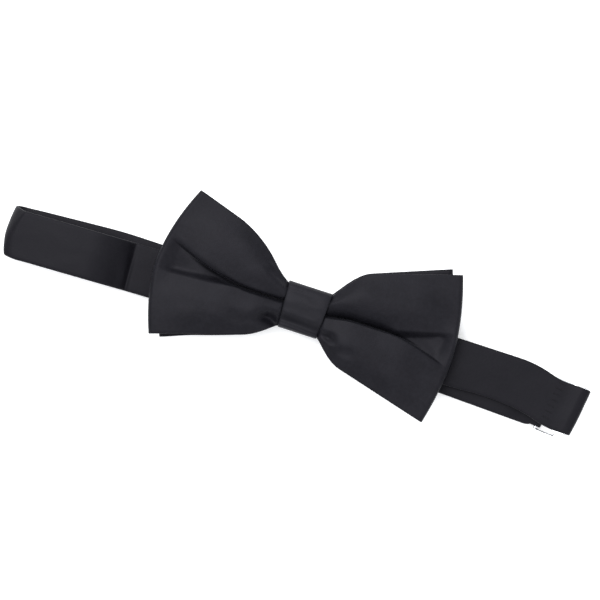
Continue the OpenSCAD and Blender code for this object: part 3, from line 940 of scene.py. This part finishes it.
def make_return_strap():
    """The lower layer from the eye back to the slide adjuster."""
    level = RETURN_LOW[2] + TOP_Z
    line = np.array([(x, back_y(x), level) for x in np.linspace(RETURN_START, RETURN_END, 48)])
    directions = strap_directions(line)
    widths = np.full(len(line), STRAP_W)
    outer = band_grid(line, directions, widths, STRAP_T, wave=0.2, crown=0.04)
    inner = band_grid(line, directions, widths, STRAP_T, inset=COVER_T, wave=0.2, crown=0.04)
    strap = hollow_band("return_strap_satin", outer, inner)
    finish_piece(strap, "strap_satin", None, ["return_strap"])
    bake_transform(strap)


def make_slider_loop():
    """Its end, which is sewn round the slide adjuster's middle bar."""
    slider_low, slider_high = box_mm("slide_adjuster")
    bar_x = (slider_low[0] + slider_high[0]) / 2
    radius = (LOOP_HIGH[2] - LOOP_LOW[2] - STRAP_T) / 2
    bar = np.array([bar_x, back_y(bar_x), LOOP_LOW[2] + STRAP_T / 2 + radius])
    outline = [(5.0 - 0.5 * i, 0.12) for i in range(4)] + [(2.6, 0.35), (1.6, 0.85), (0.8, radius - 0.08)]
    outline += arc(radius, 90, 270, LOOP_ARC_STEP)
    outline += [(0.8 * i, -radius) for i in range(1, 8)] + [(RETURN_START - bar_x, -radius)]
    loop = softened(np.array(fold_points(bar, BACK_LEAN, outline)))
    widths = np.full(len(loop), STRAP_W)
    rings = band_grid(loop, strap_directions(loop), widths, STRAP_T - 0.06, wave=0.0, crown=0.0)
    piece = grid_object("slider_loop_satin", rings)
    finish_piece(piece, "strap_satin", "slider", ["slider_loop"])


# ---------------------------------------------------------------- pieces that keep their CAD shape

def dress_cad_nodes():
    """The metal and the thread keep their CAD shape, with broken edges on the metal."""
    for name in ("hook", "eye", "slide_adjuster"):
        piece = frame["nodes"][name]
        piece.data.materials.clear()
        piece.data.materials.append(MATERIALS["nickel"])
        bevel = piece.modifiers.new("edges", "BEVEL")
        bevel.width = 0.18 * MM
        bevel.segments = 3
        bevel.limit_method = "ANGLE"
    for name in ("waist_thread", "slider_stitches", "hook_stitches"):
        piece = frame["nodes"][name]
        piece.data.materials.clear()
        piece.data.materials.append(MATERIALS["thread"])


# ---------------------------------------------------------------- stage, lights and camera

VIEW_TURN = math.radians(18)   # the photo shows the tie turned by this much
VIEW_WIDTH = 231.0             # what the frame takes in
VIEW_HEIGHT = 10.0             # at this height above the table
VIEW_CENTRE = (-2.65, 3.19)    # and round this point
LENS = 300.0
SENSOR = 36.0
TABLE_SIZE = 2000.0
TABLE_Z = -0.3                 # just clear of the lowest wrinkle of the straps
TABLE_GLOW = 0.3               # the table glows a little, which washes out the shadows


def make_stage():
    """A plain pale table that glows a little: painted light that washes out the shadows."""
    size = TABLE_SIZE
    corners = [(x, y, TABLE_Z) for x, y in ((-size, -size), (size, -size), (size, size), (-size, size))]
    floor = mesh_object("floor", corners, [(0, 1, 2, 3)])
    material = bpy.data.materials.new("floor")
    _, shader = nodes_of(material)
    shader.inputs["Base Color"].default_value = (0.92, 0.92, 0.92, 1)
    shader.inputs["Roughness"].default_value = 0.9
    shader.inputs["Specular IOR Level"].default_value = 0.1
    shader.inputs["Emission Color"].default_value = (1, 1, 1, 1)
    shader.inputs["Emission Strength"].default_value = TABLE_GLOW
    floor.data.materials.append(material)


def area_light(name, place, aim, size, power):
    """A rectangular lamp at a place, aimed at a point."""
    data = bpy.data.lights.new(name, "AREA")
    data.shape = "RECTANGLE"
    data.size, data.size_y = size
    data.energy = power
    lamp = bpy.data.objects.new(name, data)
    bpy.context.scene.collection.objects.link(lamp)
    lamp.location = place
    lamp.rotation_euler = (Vector(aim) - Vector(place)).to_track_quat("-Z", "Y").to_euler()


def make_lights():
    """A bright even sky, two soft lamps above and a small one on the hook's end."""
    world = bpy.data.worlds.new("studio")
    bpy.context.scene.world = world
    world.use_nodes = True
    sky = world.node_tree.nodes["Background"]
    sky.inputs["Color"].default_value = (0.95, 0.97, 1, 1)
    sky.inputs["Strength"].default_value = 1.15
    area_light("key", (-0.5, 0.75, 0.9), (0, 0, 0), (0.6, 0.6), 6)
    area_light("top", (-0.3, 0.2, 1.2), (0, 0, 0), (0.6, 0.6), 9)
    area_light("end", (0.2, -0.11, 0.2), (0.115, -0.005, 0), (0.08, 0.08), 0.12)


def make_camera():
    """A long lens straight above the tie."""
    data = bpy.data.cameras.new("camera")
    data.lens = LENS
    data.sensor_width = SENSOR
    camera = bpy.data.objects.new("camera", data)
    bpy.context.scene.collection.objects.link(camera)
    distance = VIEW_WIDTH * LENS / SENSOR
    camera.location = Vector((*VIEW_CENTRE, distance + VIEW_HEIGHT)) * MM
    camera.rotation_euler = (0, 0, VIEW_TURN)
    data.clip_start, data.clip_end = 0.01, 20
    bpy.context.scene.camera = camera


make_camera()
make_stage()
make_lights()
make_bow("front_bow", FRONT_BOW, 0.0)
make_bow("back_bow", BACK_BOW, 1.5)
make_knot()
make_straps()
make_return_strap()
make_slider_loop()
dress_cad_nodes()
bpy.context.scene.view_settings.view_transform = "Standard"
